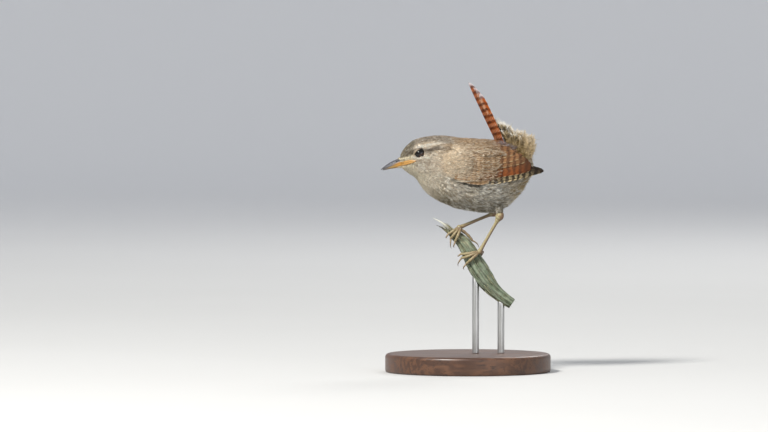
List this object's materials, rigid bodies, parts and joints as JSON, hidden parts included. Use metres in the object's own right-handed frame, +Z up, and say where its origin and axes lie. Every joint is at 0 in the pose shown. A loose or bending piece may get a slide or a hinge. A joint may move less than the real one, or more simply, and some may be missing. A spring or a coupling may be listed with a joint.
{
  "type": "wren",
  "caption": "Still life-size model of a small brown bird with a cocked barred tail, gripping a broken stem on a plain round stand.",
  "frame": {"origin": "centre of the stand's flat underside", "axes": "+Z up, the bird's bill points to -X, its left side faces -Y"},
  "size_m": [0.0739, 0.072, 0.126],
  "materials": {
    "crown": "soft small feathers, grey-brown",
    "throat": "soft small feathers, pale buff",
    "belly": "loose soft feathers, buff and grey",
    "wing": "flat close feathers, barred brown",
    "tail": "flat close feathers, rufous with dark bars",
    "coverts": "loose downy feathers, buff with pale tips",
    "bill_upper": "smooth horn, dark grey",
    "bill_lower": "smooth horn and soft gape, orange-yellow",
    "eye": "wet gloss, near black",
    "shank": "fine scales, pinkish tan",
    "claw": "horn, pale brown",
    "stem": "dry weathered stem, grey-green with a frayed top",
    "rod": "satin",
    "base": "dark stained, satin"
  },
  "bodies": {
    "root": {"head": "crown", "neck": "throat", "torso": "belly", "bill_upper": "bill_upper", "bill_lower": "bill_lower", "gape_left": "bill_lower", "gape_right": "bill_lower", "eye_left": "eye", "eye_right": "eye", "wing_left": "wing", "wing_right": "wing", "tail": "tail", "undertail_coverts": "coverts", "thigh_left": "belly", "thigh_right": "belly", "shank_left": "shank", "shank_right": "shank", "foot_left": "shank", "foot_right": "shank", "claw_left_1": "claw", "claw_left_2": "claw", "claw_left_3": "claw", "claw_left_4": "claw", "claw_right_1": "claw", "claw_right_2": "claw", "claw_right_3": "claw", "claw_right_4": "claw", "perch_stem": "stem", "stand_rod_front": "rod", "stand_rod_back": "rod", "stand_base": "base"}
  },
  "joints": []
}
